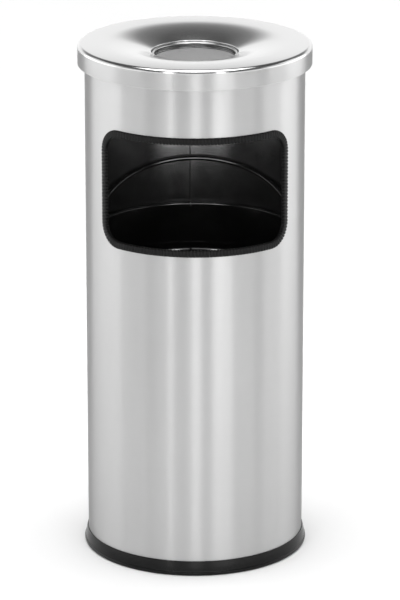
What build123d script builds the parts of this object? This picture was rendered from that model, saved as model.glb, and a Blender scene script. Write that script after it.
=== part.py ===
"""Free-standing ashtray bin: a steel tube with a throw-in window, a lift-out liner
with a bail handle, and an ash pan with sieve under a dished lid.

Frame, in millimetres: +Z up, the window faces -Y, origin at the centre of the base.
"""
from build123d import *
from math import asin, cos, degrees, radians, sin
import os

os.makedirs("parts", exist_ok=True)

# Outer sizes
TOTAL_HEIGHT = 620.0
TUBE_RADIUS = 130.0
TUBE_WALL = 1.0
LID_RADIUS = 138.3
LID_SKIRT = 24.0
SHEET = 0.8
FIT_GAP = 0.1

# Base ring: an elastic foot ring with a slot for the tube's lower edge
RING_HEIGHT = 17.3
RING_FOOT_RADIUS = 134.4
RING_INNER_RADIUS = 122.0
RING_SLOT_FLOOR = 4.0
RING_LIP_HEIGHT = 11.0
RING_LIP = 2.0
RING_FOOT_HEIGHT = 5.2
RING_FOOT_ROUND = 3.0

# Window in the tube, measured round the wall to the trim's outer edge
WINDOW_BOTTOM = 395.0
WINDOW_TOP = 538.0
WINDOW_HALF_ARC = 127.0
WINDOW_CORNER = 29.0
TRIM_FACE = 8.5
TRIM_SLOT_DEPTH = 6.5
TRIM_LEG = 2.0

# Lengthwise seams at the back, a little left of the middle
SEAM_ANGLE = 92.6
SEAM_WIDTH = 1.2
SEAM_DEPTH = 0.35

# Floor plate, and the liner standing on it
FLOOR_HEIGHT = 12.0
FLOOR_FLANGE = 11.0
FLOOR_ROUND = 0.6
LINER_RECESS = 5.0
LINER_BOTTOM = FLOOR_HEIGHT + TUBE_WALL + 0.3
LINER_RADIUS = 121.8
CURL_RADIUS = 2.2
CURL_HEIGHT = 387.0
RIM_WIRE_RADIUS = 1.3
BEAD_HEIGHT = 334.0
BEAD_HALF_WIDTH = 6.0
BEAD_DEPTH = 2.0
LAP_WIDTH = 2.6
LAP_THICKNESS = 0.7

# Bail handle, shown leaning back until it meets the tube
BAIL_WIRE_RADIUS = 3.0
BAIL_ARC_RADIUS = 117.0
BAIL_LEG = 23.5
BAIL_LEG_START = 5.0
BAIL_LEAN = 27.5
BAIL_PIVOT_HEIGHT = 380.0
BAIL_EYE_RADIUS = 7.0
BAIL_EYE_INNER = 117.2
BAIL_EYE_OUTER = 120.4
RIVET_RADIUS = 2.6
RIVET_HEAD_RADIUS = 4.8
RIVET_HEAD = 1.4
RIVET_HEAD_ROUND = 1.0

# Lid: a flat rim, then an arc that falls from the rim to the hole
LID_CORNER = 5.0
DISH_RADIUS = 110.0
HOLE_RADIUS = 51.5
HOLE_DROP = 10.1
LIP_ROUND = 0.8
NECK_BOTTOM_DROP = 20.0
NECK_LEDGE = 4.0
COLLAR_RADIUS = 124.6
COLLAR_HEIGHT = 12.0

# Ash pan
PAN_RADIUS = 126.5
PAN_FLANGE_RADIUS = 132.0
PAN_DEPTH = 52.0
PAN_CORNER = 8.0
PAN_CLEARANCE = 0.4

# Sieve cup, standing in the lid's neck
CUP_RADIUS = 50.7
CUP_BEAD_RADIUS = 1.7
CUP_BEAD_MIDDLE = 49.3
CUP_BEAD_DROP = 13.6
CUP_LEDGE = 4.7
RETAINER_RADIUS = 48.7
RETAINER_WIRE = 0.6
SIEVE_THICKNESS = 0.6
SIEVE_HOLE = 1.9
SIEVE_PITCH = 6.0
SIEVE_COUNT = 13

# Heights and radii that follow from the sizes above
LID_UNDERSIDE = TOTAL_HEIGHT - SHEET
PAN_TOP = LID_UNDERSIDE - PAN_CLEARANCE
PAN_BOTTOM = PAN_TOP - PAN_DEPTH
TUBE_TOP = PAN_TOP - SHEET
LINER_INNER = LINER_RADIUS - SHEET
RIM_EDGE = LID_RADIUS - LID_CORNER
LIP_RADIUS = HOLE_RADIUS + LIP_ROUND
DISH_ARC_RADIUS = ((DISH_RADIUS - LIP_RADIUS) ** 2 + HOLE_DROP**2) / (2 * HOLE_DROP)
NECK_BOTTOM = TOTAL_HEIGHT - NECK_BOTTOM_DROP
SIEVE_HEIGHT = NECK_BOTTOM + SHEET


def upright_plane(angle):
    """Plane through the Z axis whose x direction points out at this angle."""
    out = (cos(radians(angle)), sin(radians(angle)), 0)
    return Plane(origin=(0, 0, 0), x_dir=out, z_dir=(out[1], -out[0], 0))


def radial_plane(angle, height):
    """Plane square to the radius at this angle, through the Z axis."""
    out = (cos(radians(angle)), sin(radians(angle)), 0)
    return Plane(origin=(0, 0, height), x_dir=(-out[1], out[0], 0), z_dir=out)


def window_block(inset, inner_radius, outer_radius):
    """Block through the wall at the front, with the window's rounded outline."""
    corner = WINDOW_CORNER - inset
    middle = (WINDOW_BOTTOM + WINDOW_TOP) / 2
    half_height = (WINDOW_TOP - WINDOW_BOTTOM) / 2 - inset
    side_angle = degrees((WINDOW_HALF_ARC - inset) / TUBE_RADIUS)
    corner_angle = side_angle - degrees(corner / TUBE_RADIUS)
    depth = outer_radius - inner_radius
    with BuildPart() as block:
        for angle, height in ((corner_angle, half_height), (side_angle, half_height - corner)):
            with BuildSketch(upright_plane(-90 - angle)):
                with Locations(((inner_radius + outer_radius) / 2, middle)):
                    Rectangle(depth, 2 * height)
            revolve(axis=Axis.Z, revolution_arc=2 * angle)
        for side in (-1, 1):
            for level in (-1, 1):
                corner_height = middle + level * (half_height - corner)
                facing = radial_plane(-90 + side * corner_angle, corner_height)
                with BuildSketch(facing.offset(inner_radius)):
                    Circle(corner)
                extrude(amount=depth)
    return block.part


def save(piece, name):
    """Label a finished piece and write its STEP file."""
    piece.label = name
    export_step(piece, f"parts/{name}.step")


# Housing: tube with the window and its lengthwise seam
with BuildPart() as body_tube:
    with BuildSketch(Plane.XY.offset(RING_SLOT_FLOOR)):
        Circle(TUBE_RADIUS)
        Circle(TUBE_RADIUS - TUBE_WALL, mode=Mode.SUBTRACT)
    extrude(amount=TUBE_TOP - RING_SLOT_FLOOR)
    add(window_block(TRIM_SLOT_DEPTH, TUBE_RADIUS - 20, TUBE_RADIUS + 20), mode=Mode.SUBTRACT)
    for seam_radius in (TUBE_RADIUS, TUBE_RADIUS - TUBE_WALL):
        with BuildSketch(Plane.XY.rotated((0, 0, SEAM_ANGLE))):
            with Locations((seam_radius, 0)):
                Rectangle(2 * SEAM_DEPTH, SEAM_WIDTH)
        extrude(amount=TOTAL_HEIGHT, mode=Mode.SUBTRACT)
save(body_tube.part, "body_tube")

# Housing: floor plate with an upturned flange, welded into the tube
with BuildPart() as floor_plate:
    flange_radius = TUBE_RADIUS - TUBE_WALL - FIT_GAP
    with BuildSketch(Plane.XY.offset(FLOOR_HEIGHT)):
        Circle(flange_radius)
    extrude(amount=TUBE_WALL)
    with BuildSketch(Plane.XY.offset(FLOOR_HEIGHT + TUBE_WALL)):
        Circle(flange_radius)
        Circle(flange_radius - TUBE_WALL, mode=Mode.SUBTRACT)
    extrude(amount=FLOOR_FLANGE)
    fillet(floor_plate.edges().group_by(Axis.Z)[0], radius=FLOOR_ROUND)
save(floor_plate.part, "floor_plate")

# Housing: foot ring with a foot bead, a flared skirt and a slot for the tube
with BuildPart() as base_ring:
    slot_outer = TUBE_RADIUS + FIT_GAP
    slot_inner = TUBE_RADIUS - TUBE_WALL - FIT_GAP
    foot_edge = (RING_FOOT_RADIUS - 1.8, 0)
    waist = (RING_FOOT_RADIUS - 0.9, RING_FOOT_HEIGHT)
    flare_middle = (RING_FOOT_RADIUS - 1.9, (RING_FOOT_HEIGHT + RING_HEIGHT) / 2)
    lip_edge = (TUBE_RADIUS + 1, RING_HEIGHT)
    with BuildSketch(Plane.XZ):
        with BuildLine():
            RadiusArc(foot_edge, waist, -RING_FOOT_ROUND)
            ThreePointArc(waist, flare_middle, lip_edge)
            Polyline(
                lip_edge,
                (slot_outer, RING_HEIGHT),
                (slot_outer, RING_SLOT_FLOOR),
                (slot_inner, RING_SLOT_FLOOR),
                (slot_inner, RING_LIP_HEIGHT),
                (slot_inner - RING_LIP, RING_LIP_HEIGHT),
                (slot_inner - RING_LIP, RING_SLOT_FLOOR),
                (RING_INNER_RADIUS, RING_SLOT_FLOOR),
                (RING_INNER_RADIUS, 0),
                foot_edge,
            )
        make_face()
    revolve(axis=Axis.Z)
save(base_ring.part, "base_ring")

# Housing: rubber edging, a U profile pushed over the window's cut edge
with BuildPart() as window_trim:
    inner_face = TUBE_RADIUS - TUBE_WALL - TRIM_LEG
    outer_face = TUBE_RADIUS + TRIM_LEG
    add(window_block(0, inner_face, outer_face))
    add(window_block(TRIM_FACE, inner_face - 10, outer_face + 10), mode=Mode.SUBTRACT)
    add(body_tube.part, mode=Mode.SUBTRACT)
save(window_trim.part, "window_trim")

# Liner: wall with a rolled rim, an outward bead and a lapped seam
with BuildPart() as liner_wall:
    curl_middle = LINER_INNER + CURL_RADIUS
    with BuildSketch(Plane.XZ):
        with Locations(((LINER_INNER + LINER_RADIUS) / 2, (LINER_BOTTOM + CURL_HEIGHT) / 2)):
            Rectangle(SHEET, CURL_HEIGHT - LINER_BOTTOM)
        with Locations((LINER_RADIUS, BEAD_HEIGHT)):
            Ellipse(BEAD_DEPTH, BEAD_HALF_WIDTH)
        with Locations((LINER_INNER, BEAD_HEIGHT)):
            Ellipse(BEAD_DEPTH, BEAD_HALF_WIDTH, mode=Mode.SUBTRACT)
        with Locations((curl_middle, CURL_HEIGHT)):
            Circle(CURL_RADIUS)
            Circle(RIM_WIRE_RADIUS, mode=Mode.SUBTRACT)
    revolve(axis=Axis.Z)
    lap_middle = LINER_INNER - LAP_THICKNESS / 2
    lap_bottom = LINER_BOTTOM + LINER_RECESS + SHEET
    with BuildSketch(Plane.XY.offset(lap_bottom).rotated((0, 0, SEAM_ANGLE))):
        with Locations((lap_middle, 0)):
            Rectangle(LAP_THICKNESS + 2 * FIT_GAP, LAP_WIDTH)
    extrude(amount=CURL_HEIGHT - CURL_RADIUS - lap_bottom)
    with BuildSketch(Plane.XY.offset(CURL_HEIGHT).rotated((0, 0, SEAM_ANGLE))):
        with Locations((curl_middle, 0)):
            Rectangle(3 * CURL_RADIUS, SEAM_WIDTH)
    extrude(amount=2 * CURL_RADIUS, mode=Mode.SUBTRACT)
    with BuildSketch(Plane.YZ):
        with Locations((0, BAIL_PIVOT_HEIGHT)):
            Circle(RIVET_RADIUS + FIT_GAP / 2)
    extrude(amount=TUBE_RADIUS, both=True, mode=Mode.SUBTRACT)
save(liner_wall.part, "liner_wall")

# Liner: recessed floor with a flange that the wall is seamed to
with BuildPart() as liner_floor:
    floor_radius = LINER_INNER - FIT_GAP
    with BuildSketch(Plane.XY.offset(LINER_BOTTOM)):
        Circle(floor_radius)
    extrude(amount=LINER_RECESS)
    with BuildSketch(Plane.XY.offset(LINER_BOTTOM)):
        Circle(floor_radius - SHEET)
    extrude(amount=LINER_RECESS - SHEET, mode=Mode.SUBTRACT)
save(liner_floor.part, "liner_floor")

# Liner: steel wire rolled into the rim
with BuildPart() as rim_wire:
    with BuildSketch(Plane.XZ):
        with Locations((LINER_INNER + CURL_RADIUS, CURL_HEIGHT)):
            Circle(RIM_WIRE_RADIUS - FIT_GAP / 2)
    revolve(axis=Axis.Z)
save(rim_wire.part, "rim_wire")

# Liner: rivets that the bail turns on
with BuildPart() as bail_rivets:
    head_face = BAIL_EYE_INNER - 2 * FIT_GAP
    with BuildSketch(Plane.YZ.offset(head_face - RIVET_HEAD)):
        with Locations((0, BAIL_PIVOT_HEIGHT)):
            Circle(RIVET_HEAD_RADIUS)
    extrude(amount=RIVET_HEAD)
    fillet(bail_rivets.edges().group_by(Axis.X)[0], radius=RIVET_HEAD_ROUND)
    with BuildSketch(Plane.YZ.offset(head_face)):
        with Locations((0, BAIL_PIVOT_HEIGHT)):
            Circle(RIVET_RADIUS)
    extrude(amount=LINER_RADIUS - head_face)
    with BuildSketch(Plane.YZ.offset(LINER_RADIUS)):
        with Locations((0, BAIL_PIVOT_HEIGHT)):
            Circle(RIVET_HEAD_RADIUS)
    extrude(amount=RIVET_HEAD)
    mirror(about=Plane.YZ)
save(bail_rivets.part, "bail_rivets")

# Bail handle: round wire with two straight legs and flattened eyes
bail_plane = Plane(
    origin=(0, 0, BAIL_PIVOT_HEIGHT),
    x_dir=(1, 0, 0),
    z_dir=(0, -sin(radians(BAIL_LEAN)), cos(radians(BAIL_LEAN))),
)
with BuildPart() as bail_handle:
    with BuildLine(bail_plane) as bail_line:
        Line((-BAIL_ARC_RADIUS, BAIL_LEG_START), (-BAIL_ARC_RADIUS, BAIL_LEG))
        RadiusArc((-BAIL_ARC_RADIUS, BAIL_LEG), (BAIL_ARC_RADIUS, BAIL_LEG), BAIL_ARC_RADIUS)
        Line((BAIL_ARC_RADIUS, BAIL_LEG), (BAIL_ARC_RADIUS, BAIL_LEG_START))
    with BuildSketch(Plane(origin=bail_line.line @ 0, z_dir=bail_line.line % 0)):
        Circle(BAIL_WIRE_RADIUS)
    sweep(path=bail_line.line)
    for side in (-1, 1):
        eye_middle = side * (BAIL_EYE_INNER + BAIL_EYE_OUTER) / 2
        with BuildSketch(Plane.YZ.offset(eye_middle)):
            with Locations((0, BAIL_PIVOT_HEIGHT)):
                Circle(BAIL_EYE_RADIUS)
                Circle(RIVET_RADIUS + FIT_GAP, mode=Mode.SUBTRACT)
        extrude(amount=(BAIL_EYE_OUTER - BAIL_EYE_INNER) / 2, both=True)
save(bail_handle.part, "bail_handle")

# Ash pan: shallow drawn pan hung by its flange on the tube's edge
with BuildPart() as ash_pan:
    with BuildSketch(Plane.XZ):
        with BuildLine():
            Polyline(
                (0, PAN_BOTTOM),
                (PAN_RADIUS, PAN_BOTTOM),
                (PAN_RADIUS, TUBE_TOP),
                (PAN_FLANGE_RADIUS, TUBE_TOP),
                (PAN_FLANGE_RADIUS, PAN_TOP),
                (PAN_RADIUS - SHEET, PAN_TOP),
                (PAN_RADIUS - SHEET, PAN_BOTTOM + SHEET),
                (0, PAN_BOTTOM + SHEET),
                close=True,
            )
        make_face()
    revolve(axis=Axis.Z)
    fillet(ash_pan.edges().group_by(Axis.Z)[0], radius=PAN_CORNER)
    floor_edges = ash_pan.edges().filter_by_position(Axis.Z, PAN_BOTTOM + SHEET / 2, PAN_BOTTOM + 2 * SHEET)
    fillet(floor_edges, radius=PAN_CORNER - SHEET)
save(ash_pan.part, "ash_pan")

# Lid: skirt, rounded corner, rim, dish, lip, neck and the ledge that the sieve cup stands on
with BuildPart() as lid_top:
    fall_angle = asin((DISH_RADIUS - LIP_RADIUS) / DISH_ARC_RADIUS)
    corner_height = TOTAL_HEIGHT - LID_CORNER
    lip_top = (LIP_RADIUS, TOTAL_HEIGHT - HOLE_DROP)
    lip_height = TOTAL_HEIGHT - HOLE_DROP - LIP_ROUND
    under_arc = DISH_ARC_RADIUS - SHEET
    under_end = (
        DISH_RADIUS - under_arc * sin(fall_angle),
        TOTAL_HEIGHT - DISH_ARC_RADIUS + under_arc * cos(fall_angle),
    )
    neck_outer = HOLE_RADIUS + SHEET
    ledge_radius = HOLE_RADIUS - NECK_LEDGE
    skirt_inner = LID_RADIUS - SHEET
    with BuildSketch(Plane.XZ):
        with BuildLine():
            RadiusArc((LID_RADIUS, corner_height), (RIM_EDGE, TOTAL_HEIGHT), -LID_CORNER)
            Line((RIM_EDGE, TOTAL_HEIGHT), (DISH_RADIUS, TOTAL_HEIGHT))
            RadiusArc((DISH_RADIUS, TOTAL_HEIGHT), lip_top, -DISH_ARC_RADIUS)
            RadiusArc(lip_top, (HOLE_RADIUS, lip_height), -LIP_ROUND)
            Polyline(
                (HOLE_RADIUS, lip_height),
                (HOLE_RADIUS, NECK_BOTTOM),
                (ledge_radius, NECK_BOTTOM),
                (ledge_radius, NECK_BOTTOM - SHEET),
                (neck_outer, NECK_BOTTOM - SHEET),
                (neck_outer, lip_height),
                under_end,
            )
            RadiusArc(under_end, (DISH_RADIUS, LID_UNDERSIDE), under_arc)
            Line((DISH_RADIUS, LID_UNDERSIDE), (RIM_EDGE, LID_UNDERSIDE))
            RadiusArc((RIM_EDGE, LID_UNDERSIDE), (skirt_inner, corner_height), LID_CORNER - SHEET)
            Polyline(
                (skirt_inner, corner_height),
                (skirt_inner, TOTAL_HEIGHT - LID_SKIRT),
                (LID_RADIUS, TOTAL_HEIGHT - LID_SKIRT),
                (LID_RADIUS, corner_height),
            )
        make_face()
    revolve(axis=Axis.Z)
save(lid_top.part, "lid_top")

# Lid: collar spot-welded underneath, which centres the lid in the ash pan
with BuildPart() as lid_collar:
    with BuildSketch(Plane.XY.offset(PAN_TOP - COLLAR_HEIGHT)):
        Circle(COLLAR_RADIUS)
        Circle(COLLAR_RADIUS - SHEET, mode=Mode.SUBTRACT)
    extrude(amount=COLLAR_HEIGHT + PAN_CLEARANCE)
save(lid_collar.part, "lid_collar")

# Sieve: cup wall with a rolled bead at the top and a ledge for the sieve
with BuildPart() as sieve_cup:
    bead_height = TOTAL_HEIGHT - CUP_BEAD_DROP
    with BuildSketch(Plane.XZ):
        with Locations((CUP_RADIUS - SHEET / 2, (NECK_BOTTOM + bead_height) / 2)):
            Rectangle(SHEET, bead_height - NECK_BOTTOM)
        with Locations((CUP_RADIUS - CUP_LEDGE / 2, NECK_BOTTOM + SHEET / 2)):
            Rectangle(CUP_LEDGE, SHEET)
        with Locations((CUP_BEAD_MIDDLE, bead_height)):
            Circle(CUP_BEAD_RADIUS)
    revolve(axis=Axis.Z)
save(sieve_cup.part, "sieve_cup")

# Sieve: disc of fine perforated steel
with BuildPart() as sieve_disc:
    with BuildSketch(Plane.XY.offset(SIEVE_HEIGHT)):
        Circle(CUP_RADIUS - SHEET - FIT_GAP)
        with HexLocations(SIEVE_PITCH / 2, SIEVE_COUNT, SIEVE_COUNT):
            Circle(SIEVE_HOLE, mode=Mode.SUBTRACT)
    extrude(amount=SIEVE_THICKNESS)
save(sieve_disc.part, "sieve_disc")

# Sieve: wire ring pressed into the cup on top of the disc
with BuildPart() as sieve_retainer:
    with BuildSketch(Plane.XZ):
        with Locations((RETAINER_RADIUS, SIEVE_HEIGHT + SIEVE_THICKNESS + RETAINER_WIRE)):
            Circle(RETAINER_WIRE)
    revolve(axis=Axis.Z)
save(sieve_retainer.part, "sieve_retainer")
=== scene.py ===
"""Looks of the ashtray bin: satin steel tube and lid, black enamelled liner, ribbed rubber
edging and a woven sieve, on a pale floor in soft studio light. Everything is in metres."""
import math

import bmesh
import bpy
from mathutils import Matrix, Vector


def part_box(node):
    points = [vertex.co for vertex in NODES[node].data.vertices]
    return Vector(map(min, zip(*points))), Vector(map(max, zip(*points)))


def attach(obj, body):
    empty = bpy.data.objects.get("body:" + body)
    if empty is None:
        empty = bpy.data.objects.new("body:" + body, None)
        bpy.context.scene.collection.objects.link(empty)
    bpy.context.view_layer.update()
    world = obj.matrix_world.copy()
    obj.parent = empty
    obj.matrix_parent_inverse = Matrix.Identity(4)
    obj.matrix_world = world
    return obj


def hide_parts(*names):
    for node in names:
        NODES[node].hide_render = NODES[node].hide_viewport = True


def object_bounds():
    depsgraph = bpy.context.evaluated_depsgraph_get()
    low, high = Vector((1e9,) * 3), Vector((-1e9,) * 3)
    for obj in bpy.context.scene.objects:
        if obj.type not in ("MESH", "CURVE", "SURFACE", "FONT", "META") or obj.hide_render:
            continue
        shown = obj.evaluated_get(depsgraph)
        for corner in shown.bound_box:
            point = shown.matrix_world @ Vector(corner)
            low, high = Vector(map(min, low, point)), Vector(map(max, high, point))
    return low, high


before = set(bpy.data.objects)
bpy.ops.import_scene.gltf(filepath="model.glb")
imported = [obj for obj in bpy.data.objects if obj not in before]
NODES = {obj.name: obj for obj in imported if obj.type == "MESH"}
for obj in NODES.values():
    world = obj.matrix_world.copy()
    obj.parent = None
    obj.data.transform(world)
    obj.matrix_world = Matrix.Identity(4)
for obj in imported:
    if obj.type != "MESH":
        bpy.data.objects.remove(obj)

CAD_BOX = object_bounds()

MM = 0.001
TURN = 2 * math.pi
SHARP_DEGREES = 35
LATHE_SEGMENTS = 288

# Sizes read from the frame
TUBE_LOW, TUBE_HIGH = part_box("body_tube")
TUBE_RADIUS = TUBE_HIGH.x
TRIM_LOW, TRIM_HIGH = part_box("window_trim")
LID_LOW, LID_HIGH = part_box("lid_top")
DISC_LOW, DISC_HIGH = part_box("sieve_disc")
HEIGHT = CAD_BOX[1].z

# Tube wall, its window and its lengthwise seam; the window is measured round the wall from the front
WALL = 1.0 * MM
WINDOW_HALF_ARC = 127.0 * MM
WINDOW_CORNER = 29.0 * MM
WINDOW_ROW_PITCH = 2.6 * MM
ROWS_BELOW_WINDOW = 4
SEAM_PLACE = math.radians(-177.4)
SEAM_CLEARANCE = math.radians(1.2)
# Across the seam, in millimetres: place, how deep the inside is let in, how deep the outside is
SEAM_SHAPE = (
    (-0.6, 0.0, 0.0),
    (-0.1, 0.4, 0.2),
    (0.1, 0.4, 0.2),
    (0.6, 0.0, 0.0),
    (0.9, -0.15, 0.0),
    (1.3, 0.0, 0.0),
)

# Window edging: a U profile with ribs, pushed over the wall's cut edge. The place of its joint is
# measured round the wall from the front, and RIB_STEPS is the number of stations along one rib.
TRIM_FACE = 8.5 * MM
TRIM_SLOT = 6.5 * MM
TRIM_LEG = 2.0 * MM
TRIM_ROUND = 1.6 * MM
TRIM_JOINT = 17.5 * MM
TRIM_JOINT_GAP = 0.3 * MM
RIB_PITCH = 4.0 * MM
RIB_STEPS = 8
RIB_GROOVE = 1.0 * MM

# Lid: skirt, rounded corner, flat rim, dish, lip, neck and ledge, as in the design
SHEET = 0.8 * MM
LID_CORNER = 5.0 * MM
DISH_RADIUS = 110.0 * MM
HOLE_RADIUS = 51.5 * MM
HOLE_DROP = 10.1 * MM
LIP_ROUND = 0.8 * MM
NECK_DROP = 20.0 * MM
NECK_LEDGE = 4.0 * MM
# A face whose normal's z is below this counts as upright
UPRIGHT = 0.1

# Sieve: plain weave of fine wire. WEAVE_SIDES is the number of sides round a wire, and WEAVE_STEPS
# the number of stations from one crossing to the next.
WEAVE_PITCH = 1.5 * MM
WEAVE_WIRE = 0.17 * MM
WEAVE_WAVE = 0.13 * MM
WEAVE_SIDES = 4
WEAVE_STEPS = 2

# A noise texture stays mostly between these values
NOISE_LOW, NOISE_HIGH = 0.3, 0.7

# Studio: sky brightness by height on the unit sphere
SKY = ((0.0, 0.25), (0.28, 0.25), (0.32, 0.15), (0.4, 0.06), (0.65, 0.025), (0.85, 0.02), (0.93, 0.9))
SKY_STRENGTH = 5.0

# Upright light panels round the bin, as name, azimuth in degrees, width, bottom, top and glow.
# Azimuth 0 is in front and grows to the right. A white floor in this studio glows at about 1.
PANEL_DISTANCE = 1.25
FAINT, SOFT, BRIGHT, STRIP, KEY = 0.3, 0.5, 1.25, 2.0, 4.0
LIGHTS = (
    ("left_wide", -90, 2.1, 0.0, 1.6, FAINT),
    ("left_narrow", -105, 1.2, 0.0, 1.6, SOFT),
    ("front_left_wide", -30, 0.4, 0.0, 0.45, FAINT),
    ("front_left_narrow", -24, 0.12, 0.0, 0.25, STRIP),
    ("middle_wide", 0, 0.4, 0.0, 0.4, FAINT),
    ("middle_narrow", 1, 0.2, 0.0, 0.4, STRIP),
    ("front_right_wide", 40, 1.0, 0.0, 0.45, SOFT),
    ("front_right_narrow", 27, 0.45, 0.0, 0.45, BRIGHT),
    ("right_wide", 100, 1.3, 0.0, 1.6, SOFT),
    ("right_narrow", 115, 0.8, 0.0, 1.6, SOFT),
    ("key_left", -25, 0.2, 1.0, 1.5, KEY),
    ("key_right", 25, 0.2, 1.0, 1.5, KEY),
)

FLOOR_HALF = 14.0

# Camera: metres, degrees and, for the lens, millimetres
CAMERA_DISTANCE = 4.5
CAMERA_ELEVATION = 17.6
CAMERA_LENS = 225.0
CAMERA_CLIP = 100
CAMERA_AIM = Vector((0.006, 0.0, 0.3023))


# ---------------------------------------------------------------- materials

def new_material(name):
    """A material with its nodes cleared down to one Principled shader."""
    material = bpy.data.materials.new(name)
    material.use_nodes = True
    tree = material.node_tree
    tree.nodes.clear()
    shader = tree.nodes.new("ShaderNodeBsdfPrincipled")
    output = tree.nodes.new("ShaderNodeOutputMaterial")
    tree.links.new(shader.outputs["BSDF"], output.inputs["Surface"])
    return material, tree, shader


def feed(tree, target, value):
    """Links a socket to the target input, or sets the input to a number or triple."""
    if isinstance(value, bpy.types.NodeSocket):
        tree.links.new(value, target)
    else:
        target.default_value = value


def math_node(tree, operation, first, second):
    """A Math node whose inputs are sockets or numbers; gives its output socket."""
    node = tree.nodes.new("ShaderNodeMath")
    node.operation = operation
    feed(tree, node.inputs[0], first)
    feed(tree, node.inputs[1], second)
    return node.outputs[0]


def vector_node(tree, operation, first, second=None):
    """A Vector Math node whose inputs are sockets or triples; gives the node."""
    node = tree.nodes.new("ShaderNodeVectorMath")
    node.operation = operation
    feed(tree, node.inputs[0], first)
    if second is not None:
        feed(tree, node.inputs[1], second)
    return node


def position(tree):
    """Object-space position, in metres."""
    return tree.nodes.new("ShaderNodeTexCoord").outputs["Object"]


def upwards(tree, value):
    """A vector socket that holds the value as its z and nothing else."""
    node = tree.nodes.new("ShaderNodeCombineXYZ")
    feed(tree, node.inputs["Z"], value)
    return node.outputs[0]


def turned_grain(tree, stretch):
    """Coordinates that barely change round the axis and quickly across it, for spun or brushed grain."""
    place = position(tree)
    flat = vector_node(tree, "MULTIPLY", place, (1.0, 1.0, 0.0)).outputs["Vector"]
    around = vector_node(tree, "NORMALIZE", flat).outputs["Vector"]
    radius = vector_node(tree, "LENGTH", flat).outputs["Value"]
    parts = tree.nodes.new("ShaderNodeSeparateXYZ")
    tree.links.new(place, parts.inputs[0])
    across = math_node(tree, "MULTIPLY", math_node(tree, "ADD", radius, parts.outputs["Z"]), stretch)
    return vector_node(tree, "ADD", around, upwards(tree, across)).outputs["Vector"]


def noise(tree, vector, scale, detail=2.0, roughness=0.5):
    """A noise texture's value socket."""
    node = tree.nodes.new("ShaderNodeTexNoise")
    node.inputs["Scale"].default_value = scale
    node.inputs["Detail"].default_value = detail
    node.inputs["Roughness"].default_value = roughness
    tree.links.new(vector, node.inputs["Vector"])
    return node.outputs["Fac"]


def ramp(tree, value, stops):
    """A colour ramp through grey stops given as (place, grey)."""
    node = tree.nodes.new("ShaderNodeValToRGB")
    elements = node.color_ramp.elements
    while len(elements) < len(stops):
        elements.new(0.5)
    for element, (place, grey) in zip(elements, stops):
        element.position = place
        element.color = (grey, grey, grey, 1)
    tree.links.new(value, node.inputs["Fac"])
    return node.outputs["Color"]


def map_range(tree, value, low, high, to_low, to_high):
    """A clamped linear remap."""
    node = tree.nodes.new("ShaderNodeMapRange")
    tree.links.new(value, node.inputs["Value"])
    for name, number in (("From Min", low), ("From Max", high), ("To Min", to_low), ("To Max", to_high)):
        node.inputs[name].default_value = number
    return node.outputs["Result"]


def mix(tree, factor, first, second):
    """A float mix; all three inputs are sockets or numbers."""
    node = tree.nodes.new("ShaderNodeMix")
    node.data_type = "FLOAT"
    for name, value in (("Factor", factor), ("A", first), ("B", second)):
        feed(tree, node.inputs[name], value)
    return node.outputs["Result"]


def set_grey(tree, shader, value, low, high):
    """Base colour between two greys, following a noise value."""
    tree.links.new(ramp(tree, value, ((NOISE_LOW, low), (NOISE_HIGH, high))), shader.inputs["Base Color"])


def set_rough(tree, shader, value, low, high):
    """Roughness between two numbers, following a noise value."""
    tree.links.new(map_range(tree, value, NOISE_LOW, NOISE_HIGH, low, high), shader.inputs["Roughness"])


def add_bump(tree, shader, height, distance, strength):
    """Bump from a height socket into the shader's normal."""
    node = tree.nodes.new("ShaderNodeBump")
    node.inputs["Strength"].default_value = strength
    node.inputs["Distance"].default_value = distance
    tree.links.new(height, node.inputs["Height"])
    tree.links.new(node.outputs["Normal"], shader.inputs["Normal"])


def satin_steel(name, grey, roughness, anisotropy, edge_tint):
    """Stainless steel brushed round the axis, with fine lines, broader bands and a faint cloud."""
    grey_spread, rough_spread, cloud_spread = 0.004, 0.015, 0.012
    material, tree, shader = new_material(name)
    fine = noise(tree, turned_grain(tree, stretch=900.0), scale=1.6)
    band = noise(tree, turned_grain(tree, stretch=120.0), scale=0.8)
    cloud = noise(tree, position(tree), scale=7.0, detail=3.0)
    streak = mix(tree, 0.4, fine, band)
    set_grey(tree, shader, streak, grey - grey_spread, grey + grey_spread)
    rough = mix(tree, streak, roughness - rough_spread, roughness + rough_spread)
    clouded = map_range(tree, cloud, NOISE_LOW, NOISE_HIGH, -cloud_spread, cloud_spread)
    tree.links.new(math_node(tree, "ADD", rough, clouded), shader.inputs["Roughness"])
    shader.inputs["Metallic"].default_value = 1.0
    shader.inputs["Specular Tint"].default_value = (edge_tint, edge_tint, edge_tint, 1)
    shader.inputs["Anisotropic"].default_value = anisotropy
    shader.inputs["Anisotropic Rotation"].default_value = 0.25
    tangent = tree.nodes.new("ShaderNodeTangent")
    tangent.direction_type = "RADIAL"
    tangent.axis = "Z"
    tree.links.new(tangent.outputs["Tangent"], shader.inputs["Tangent"])
    add_bump(tree, shader, fine, distance=0.002 * MM, strength=0.03)
    return material


def plain_steel(name, grey, roughness):
    """Unbrushed rolled steel with a mottled finish."""
    grey_spread, rough_spread = 0.03, 0.05
    material, tree, shader = new_material(name)
    mottle = noise(tree, position(tree), scale=160.0, detail=4.0, roughness=0.6)
    set_grey(tree, shader, mottle, grey - grey_spread, grey + grey_spread)
    set_rough(tree, shader, mottle, roughness - rough_spread, roughness + rough_spread)
    shader.inputs["Metallic"].default_value = 1.0
    add_bump(tree, shader, mottle, distance=0.02 * MM, strength=0.3)
    return material


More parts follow.
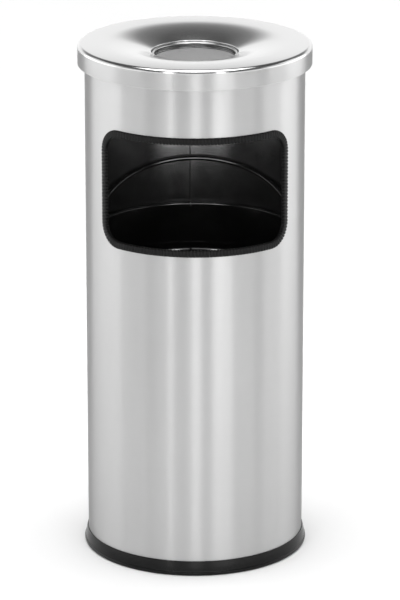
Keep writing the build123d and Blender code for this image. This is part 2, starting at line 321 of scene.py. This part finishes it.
def black_enamel(name, grey, index, roughness, peel_depth):
    """Glossy black coating with an orange peel and a little dust."""
    darkest, lightest, rough_spread = 0.75, 1.25, 0.03
    material, tree, shader = new_material(name)
    place = position(tree)
    peel = noise(tree, place, scale=380.0)
    dust = noise(tree, place, scale=60.0, detail=4.0, roughness=0.6)
    tone = noise(tree, place, scale=25.0, detail=3.0)
    set_grey(tree, shader, tone, darkest * grey, lightest * grey)
    set_rough(tree, shader, dust, roughness - rough_spread, roughness + rough_spread)
    shader.inputs["IOR"].default_value = index
    add_bump(tree, shader, peel, distance=peel_depth, strength=0.35)
    return material


def rubber(name, grey, gloss, roughness, grain_scale):
    """Black rubber with a fine moulded grain."""
    darkest, lightest, rough_spread = 0.7, 1.3, 0.04
    material, tree, shader = new_material(name)
    grain = noise(tree, position(tree), scale=grain_scale, detail=3.0, roughness=0.6)
    bloom = noise(tree, position(tree), scale=40.0, detail=3.0)
    set_grey(tree, shader, bloom, darkest * grey, lightest * grey)
    shader.inputs["Specular IOR Level"].default_value = gloss
    set_rough(tree, shader, grain, roughness - rough_spread, roughness + rough_spread)
    add_bump(tree, shader, grain, distance=0.03 * MM, strength=0.3)
    return material


def paper_white():
    """The floor: plain, pale and matt."""
    material, tree, shader = new_material("floor_white")
    tone = noise(tree, position(tree), scale=2.0)
    set_grey(tree, shader, tone, low=0.84, high=0.86)
    shader.inputs["Roughness"].default_value = 0.9
    return material


# ---------------------------------------------------------------- mesh helpers

def finish_mesh(mesh, work, materials):
    """Makes a scene object from the bmesh: normals outward, smooth but for its sharp edges."""
    bmesh.ops.recalc_face_normals(work, faces=work.faces)
    work.to_mesh(mesh)
    work.free()
    for material in materials:
        mesh.materials.append(material)
    mesh.polygons.foreach_set("use_smooth", [True] * len(mesh.polygons))
    mesh.set_sharp_from_angle(angle=math.radians(SHARP_DEGREES))
    thing = bpy.data.objects.new(mesh.name, mesh)
    bpy.context.scene.collection.objects.link(thing)
    return thing


def make_object(name, points, faces, materials):
    """A mesh object from points and faces."""
    mesh = bpy.data.meshes.new(name)
    mesh.from_pydata([tuple(p) for p in points], [], faces)
    work = bmesh.new()
    work.from_mesh(mesh)
    return finish_mesh(mesh, work, materials)


def on_wall(along, height, radius):
    """A point at this arc length round the wall from the front, at this radius."""
    angle = along / TUBE_RADIUS
    return Vector((radius * math.sin(angle), -radius * math.cos(angle), height))


def arc(centre, radius, first, last, steps):
    """Points (outward, height) on an arc from one angle to another, in degrees."""
    points = []
    for step in range(steps + 1):
        angle = math.radians(first + (last - first) * step / steps)
        points.append((centre[0] + radius * math.cos(angle), centre[1] + radius * math.sin(angle)))
    return points


def lathe(name, profile, materials):
    """A closed profile of (radius, height) points turned round the axis."""
    points, faces = [], []
    count = len(profile)
    for turn in range(LATHE_SEGMENTS):
        angle = TURN * turn / LATHE_SEGMENTS
        points += [(r * math.cos(angle), r * math.sin(angle), z) for r, z in profile]
        first, second = turn * count, (turn + 1) % LATHE_SEGMENTS * count
        for number in range(count):
            after = (number + 1) % count
            faces.append((first + number, first + after, second + after, second + number))
    return make_object(name, points, faces, materials)


# ---------------------------------------------------------------- tube

def window_outline(inset):
    """Half width, half height, corner radius and middle height of the window's outline."""
    half_height = (TRIM_HIGH.z - TRIM_LOW.z) / 2
    return WINDOW_HALF_ARC - inset, half_height - inset, WINDOW_CORNER - inset, TRIM_LOW.z + half_height


def snap_to_outline(along, height, outline):
    """Moves a point next to the outline onto it. Also says whether it started inside."""
    half_width, half_height, corner, middle = outline
    rise = height - middle
    over_x, over_z = abs(along) - (half_width - corner), abs(rise) - (half_height - corner)
    side_x, side_z = math.copysign(1, along), math.copysign(1, rise)
    if over_x > 0 and over_z > 0:
        reach = math.hypot(over_x, over_z)
        along = side_x * (half_width - corner + over_x * corner / reach)
        rise = side_z * (half_height - corner + over_z * corner / reach)
        return along, rise + middle, reach < corner
    if half_width - abs(along) < half_height - abs(rise):
        return side_x * half_width, height, over_x < corner and over_z < corner
    return along, side_z * half_height + middle, over_x < corner and over_z < corner


def tube_columns():
    """Columns round the tube as (angle, inside depth, outside depth), a degree apart but for the seam."""
    columns = []
    for place, inside, outside in SEAM_SHAPE:
        columns.append((SEAM_PLACE + place * MM / TUBE_RADIUS, inside * MM, outside * MM))
    for degree in range(-180, 180):
        angle = math.radians(degree)
        if abs(angle - SEAM_PLACE) > SEAM_CLEARANCE:
            columns.append((angle, 0.0, 0.0))
    return sorted(columns)


def tube_rows():
    """Heights of the tube's rows: close together beside the window, far apart elsewhere."""
    low, high = TRIM_LOW.z + TRIM_SLOT, TRIM_HIGH.z - TRIM_SLOT
    drop = low - TUBE_LOW.z
    count = round((high - low) / WINDOW_ROW_PITCH)
    below = [TUBE_LOW.z + drop * step / ROWS_BELOW_WINDOW for step in range(ROWS_BELOW_WINDOW)]
    beside = [low + (high - low) * step / count for step in range(count + 1)]
    return below + beside + [(high + TUBE_HIGH.z) / 2, TUBE_HIGH.z]


def tube_shell(steel, coating):
    """The tube: sheet with the window cut out, brushed outside and coated inside."""
    outline = window_outline(TRIM_SLOT)
    columns, rows = tube_columns(), tube_rows()
    work = bmesh.new()
    layers = []
    for is_inside in (False, True):
        grid = []
        for angle, inside, outside in columns:
            place = TUBE_RADIUS - WALL + inside if is_inside else TUBE_RADIUS - outside
            grid.append([work.verts.new(on_wall(angle * TUBE_RADIUS, height, place)) for height in rows])
        layers.append(grid)

    def is_open(column, row):
        """Whether this cell lies in the window."""
        if column + 1 == len(columns):
            return False
        along = (columns[column][0] + columns[column + 1][0]) / 2 * TUBE_RADIUS
        height = (rows[row] + rows[row + 1]) / 2
        return snap_to_outline(along, height, outline)[2]

    for column in range(len(columns)):
        after = (column + 1) % len(columns)
        for row in range(len(rows) - 1):
            if is_open(column, row):
                continue
            for index, grid in enumerate(layers):
                corners = (grid[column][row], grid[after][row], grid[after][row + 1], grid[column][row + 1])
                face = work.faces.new(corners if index == 0 else corners[::-1])
                face.material_index = index
    partner = {outer: inner for first, second in zip(*layers) for outer, inner in zip(first, second)}
    rims = [edge for edge in work.edges if len(edge.link_faces) == 1 and edge.verts[0] in partner]
    snapped = {}
    for edge in rims:
        first, second = edge.verts
        work.faces.new((first, second, partner[second], partner[first]))
        for vertex in edge.verts:
            if rows[0] < vertex.co.z < rows[-1]:
                angle = math.atan2(vertex.co.x, -vertex.co.y)
                along, height, _ = snap_to_outline(angle * TUBE_RADIUS, vertex.co.z, outline)
                snapped[vertex] = (along, height)
    for vertex, (along, height) in snapped.items():
        vertex.co = on_wall(along, height, TUBE_RADIUS)
        partner[vertex].co = on_wall(along, height, TUBE_RADIUS - WALL)
    bmesh.ops.delete(work, geom=[v for v in work.verts if not v.link_faces], context="VERTS")
    piece = finish_mesh(bpy.data.meshes.new("tube_shell"), work, [steel, coating])
    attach(piece, "housing")
    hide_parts("body_tube")


# ---------------------------------------------------------------- window edging

def window_stations(pitch):
    """Points and outward directions once round the window from the edging's joint."""
    half_width, half_height, corner, middle = window_outline(0.0)
    stations = []

    def straight(start, end, out):
        """Stations along a straight side, without its last point."""
        count = max(1, round(math.dist(start, end) / pitch))
        for step in range(count):
            share = step / count
            along, rise = (first + (last - first) * share for first, last in zip(start, end))
            stations.append((along, middle + rise, *out))

    def bend(side_x, side_z, first):
        """Stations round a quarter-circle corner from this angle, without its last point."""
        count = round(math.pi / 2 * corner / pitch)
        for step in range(count):
            angle = first + math.pi / 2 * step / count
            out = (math.cos(angle), math.sin(angle))
            along = side_x * (half_width - corner) + corner * out[0]
            rise = side_z * (half_height - corner) + corner * out[1]
            stations.append((along, middle + rise, *out))

    flat, upright = half_width - corner, half_height - corner
    straight((TRIM_JOINT, -half_height), (flat, -half_height), (0, -1))
    bend(1, -1, -math.pi / 2)
    straight((half_width, -upright), (half_width, upright), (1, 0))
    bend(1, 1, 0.0)
    straight((flat, half_height), (-flat, half_height), (0, 1))
    bend(-1, 1, math.pi / 2)
    straight((-half_width, upright), (-half_width, -upright), (-1, 0))
    bend(-1, -1, math.pi)
    end = TRIM_JOINT - TRIM_JOINT_GAP
    straight((-flat, -half_height), (end, -half_height), (0, -1))
    stations.append((end, middle - half_height, 0, -1))
    return stations


def trim_profile():
    """Cross-section of the edging as (outward, radius) points: rounded outside, then the slot."""
    inner, outer = TUBE_RADIUS - WALL - TRIM_LEG, TUBE_RADIUS + TRIM_LEG
    near, far = -TRIM_ROUND, -TRIM_FACE + TRIM_ROUND
    low, high = inner + TRIM_ROUND, outer - TRIM_ROUND
    rounded = []
    for quarter, centre in enumerate(((near, high), (far, high), (far, low), (near, low))):
        rounded += arc(centre, TRIM_ROUND, 90 * quarter, 90 * (quarter + 1), steps=4)
    slot = [(place, TUBE_RADIUS - WALL) for place in (0, -TRIM_SLOT)]
    slot += [(place, TUBE_RADIUS) for place in (-TRIM_SLOT, 0)]
    return rounded, slot


def window_edging(material):
    """The ribbed rubber edging, swept round the window with a groove between ribs."""
    stations = window_stations(RIB_PITCH / RIB_STEPS)
    rounded, slot = trim_profile()
    middle = Vector((-TRIM_FACE / 2, TUBE_RADIUS - WALL / 2))
    count = len(rounded) + len(slot)
    points, faces = [], []
    for index, (along, height, out_x, out_z) in enumerate(stations):
        depth = RIB_GROOVE * max(0.0, math.cos(TURN * index / RIB_STEPS))
        section = [Vector(p) + (middle - Vector(p)).normalized() * depth for p in rounded] + slot
        points += [on_wall(along + out_x * out, height + out_z * out, radius) for out, radius in section]
    for index in range(len(stations) - 1):
        first, second = index * count, (index + 1) * count
        for number in range(count):
            after = (number + 1) % count
            faces.append((first + number, first + after, second + after, second + number))
    faces += [tuple(range(count)), tuple(range(len(points) - count, len(points)))]
    piece = make_object("window_edging", points, faces, [material])
    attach(piece, "housing")
    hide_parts("window_trim")


# ---------------------------------------------------------------- lid and sieve

def lid_shell(steel, skirt_steel):
    """The lid in one sheet: skirt, rounded corner, rim, dish, lip, neck and ledge."""
    outer, edge, bottom = LID_HIGH.x, LID_HIGH.x - LID_CORNER, LID_LOW.z
    lip = HOLE_RADIUS + LIP_ROUND
    dish_arc = ((DISH_RADIUS - lip) ** 2 + HOLE_DROP**2) / (2 * HOLE_DROP)
    fall = 90 + math.degrees(math.asin((DISH_RADIUS - lip) / dish_arc))
    lip_height = HEIGHT - HOLE_DROP - LIP_ROUND
    neck_bottom = HEIGHT - NECK_DROP
    ledge = HOLE_RADIUS - NECK_LEDGE
    skirt_edge = (outer - SHEET / 2, bottom + SHEET / 2)
    profile = (
        arc(skirt_edge, SHEET / 2, -180, 0, steps=6)
        + arc((edge, HEIGHT - LID_CORNER), LID_CORNER, 0, 90, steps=12)
        + arc((DISH_RADIUS, HEIGHT - dish_arc), dish_arc, 90, fall, steps=30)
        + arc((lip, lip_height), LIP_ROUND, 90, 180, steps=5)[1:]
        + [(HOLE_RADIUS, neck_bottom), (ledge, neck_bottom), (ledge, neck_bottom - SHEET)]
        + [(HOLE_RADIUS + SHEET, neck_bottom - SHEET), (HOLE_RADIUS + SHEET, lip_height)]
        + arc((DISH_RADIUS, HEIGHT - dish_arc), dish_arc - SHEET, fall, 90, steps=30)
        + arc((edge, HEIGHT - LID_CORNER), LID_CORNER - SHEET, 90, 0, steps=8)
    )
    piece = lathe("lid_shell", profile, [steel, skirt_steel])
    for face in piece.data.polygons:
        on_skirt = math.hypot(face.center.x, face.center.y) > edge and abs(face.normal.z) < UPRIGHT
        face.material_index = int(on_skirt)
    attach(piece, "lid")
    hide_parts("lid_top")


def sieve_mesh(material):
    """The sieve: a plain weave of round wires, cut to the cup's circle."""
    radius = DISC_HIGH.x
    level = (DISC_LOW.z + DISC_HIGH.z) / 2
    half_count = math.floor(radius / WEAVE_PITCH)
    points, faces = [], []
    for along_x, over in ((True, 1), (False, -1)):
        for wire in range(-half_count, half_count + 1):
            across = wire * WEAVE_PITCH
            half_length = math.sqrt(radius**2 - across**2)
            steps = max(2, round(2 * WEAVE_STEPS * half_length / WEAVE_PITCH))
            start = len(points)
            for step in range(steps + 1):
                along = half_length * (2 * step / steps - 1)
                wave = over * WEAVE_WAVE * math.cos(math.pi * (along / WEAVE_PITCH + wire))
                for side in range(WEAVE_SIDES):
                    angle = TURN * side / WEAVE_SIDES
                    sideways = across + WEAVE_WIRE * math.cos(angle)
                    height = level + wave + WEAVE_WIRE * math.sin(angle)
                    points.append((along, sideways, height) if along_x else (sideways, along, height))
            for step in range(steps):
                first, second = start + step * WEAVE_SIDES, start + (step + 1) * WEAVE_SIDES
                for side in range(WEAVE_SIDES):
                    after = (side + 1) % WEAVE_SIDES
                    faces.append((first + side, first + after, second + after, second + side))
            faces.append(tuple(range(start, start + WEAVE_SIDES)))
            faces.append(tuple(range(len(points) - WEAVE_SIDES, len(points))))
    piece = make_object("sieve_mesh", points, faces, [material])
    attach(piece, "sieve")
    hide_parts("sieve_disc")


# ---------------------------------------------------------------- studio

def studio_world():
    """The sky: a bright horizon, a dim band above it and a bright zenith."""
    world = bpy.data.worlds.new("studio")
    bpy.context.scene.world = world
    world.use_nodes = True
    tree = world.node_tree
    tree.nodes.clear()
    place = tree.nodes.new("ShaderNodeTexCoord")
    parts = tree.nodes.new("ShaderNodeSeparateXYZ")
    tree.links.new(place.outputs["Generated"], parts.inputs[0])
    background = tree.nodes.new("ShaderNodeBackground")
    tree.links.new(ramp(tree, parts.outputs["Z"], SKY), background.inputs["Color"])
    background.inputs["Strength"].default_value = SKY_STRENGTH
    output = tree.nodes.new("ShaderNodeOutputWorld")
    tree.links.new(background.outputs[0], output.inputs["Surface"])


def soft_box(name, azimuth, width, bottom, top, glow):
    """An upright light panel that faces the bin."""
    light = bpy.data.lights.new(name, "AREA")
    light.shape = "RECTANGLE"
    light.size, light.size_y = width, top - bottom
    light.energy = glow * math.pi * light.size * light.size_y
    lamp = bpy.data.objects.new(name, light)
    bpy.context.scene.collection.objects.link(lamp)
    turn = math.radians(azimuth)
    away = Vector((math.sin(turn), -math.cos(turn), 0.0))
    lamp.location = away * PANEL_DISTANCE + Vector((0, 0, (bottom + top) / 2))
    lamp.rotation_mode = "QUATERNION"
    lamp.rotation_quaternion = away.to_track_quat("Z", "Y")
    lamp.visible_camera = False


def floor():
    """A large pale floor that fills the view."""
    corners = [(FLOOR_HALF * x, FLOOR_HALF * y, 0) for x, y in ((-1, -1), (1, -1), (1, 1), (-1, 1))]
    thing = make_object("floor", corners, [(0, 1, 2, 3)], [paper_white()])


def camera():
    """The camera, aimed at the bin's middle."""
    data = bpy.data.cameras.new("camera")
    data.lens = CAMERA_LENS
    data.clip_end = CAMERA_CLIP
    thing = bpy.data.objects.new("camera", data)
    bpy.context.scene.collection.objects.link(thing)
    rise = math.radians(CAMERA_ELEVATION)
    away = Vector((0, -math.cos(rise), math.sin(rise)))
    thing.location = CAMERA_AIM + away * CAMERA_DISTANCE
    thing.rotation_mode = "QUATERNION"
    thing.rotation_quaternion = away.to_track_quat("Z", "Y")
    bpy.context.scene.camera = thing


# ---------------------------------------------------------------- assembly

def paint(node, material):
    """Gives a CAD node one material."""
    thing = NODES[node]
    if not thing.material_slots:
        thing.data.materials.append(material)
    for place in thing.material_slots:
        place.material = material


def main():
    studio_world()
    for light in LIGHTS:
        soft_box(*light)
    floor()
    camera()

    enamel = black_enamel("black_enamel", grey=0.015, index=2.6, roughness=0.15, peel_depth=0.05 * MM)
    coating = black_enamel("tube_coating", grey=0.03, index=3.6, roughness=0.22, peel_depth=0.12 * MM)
    steel = plain_steel("plain_steel", grey=0.5, roughness=0.32)
    tube_steel = satin_steel("tube_steel", grey=0.49, roughness=0.34, anisotropy=0.98, edge_tint=0.5)
    tube_shell(tube_steel, coating)
    lid_steel = satin_steel("lid_steel", grey=0.6, roughness=0.15, anisotropy=0.6, edge_tint=1.0)
    lid_shell(lid_steel, tube_steel)
    sieve_mesh(plain_steel("sieve_steel", grey=0.22, roughness=0.4))
    window_edging(rubber("edging_rubber", grey=0.005, gloss=0.17, roughness=0.42, grain_scale=1200.0))
    paint("base_ring", rubber("foot_rubber", grey=0.004, gloss=0.16, roughness=0.22, grain_scale=900.0))
    for node in ("rim_wire", "bail_rivets", "lid_collar"):
        paint(node, steel)
    cup_steel = plain_steel("cup_steel", grey=0.42, roughness=0.2)
    for node in ("sieve_cup", "sieve_retainer"):
        paint(node, cup_steel)
    for node in ("floor_plate", "liner_wall", "liner_floor", "bail_handle", "ash_pan"):
        paint(node, enamel)

    bpy.context.scene.view_settings.view_transform = "Standard"


main()
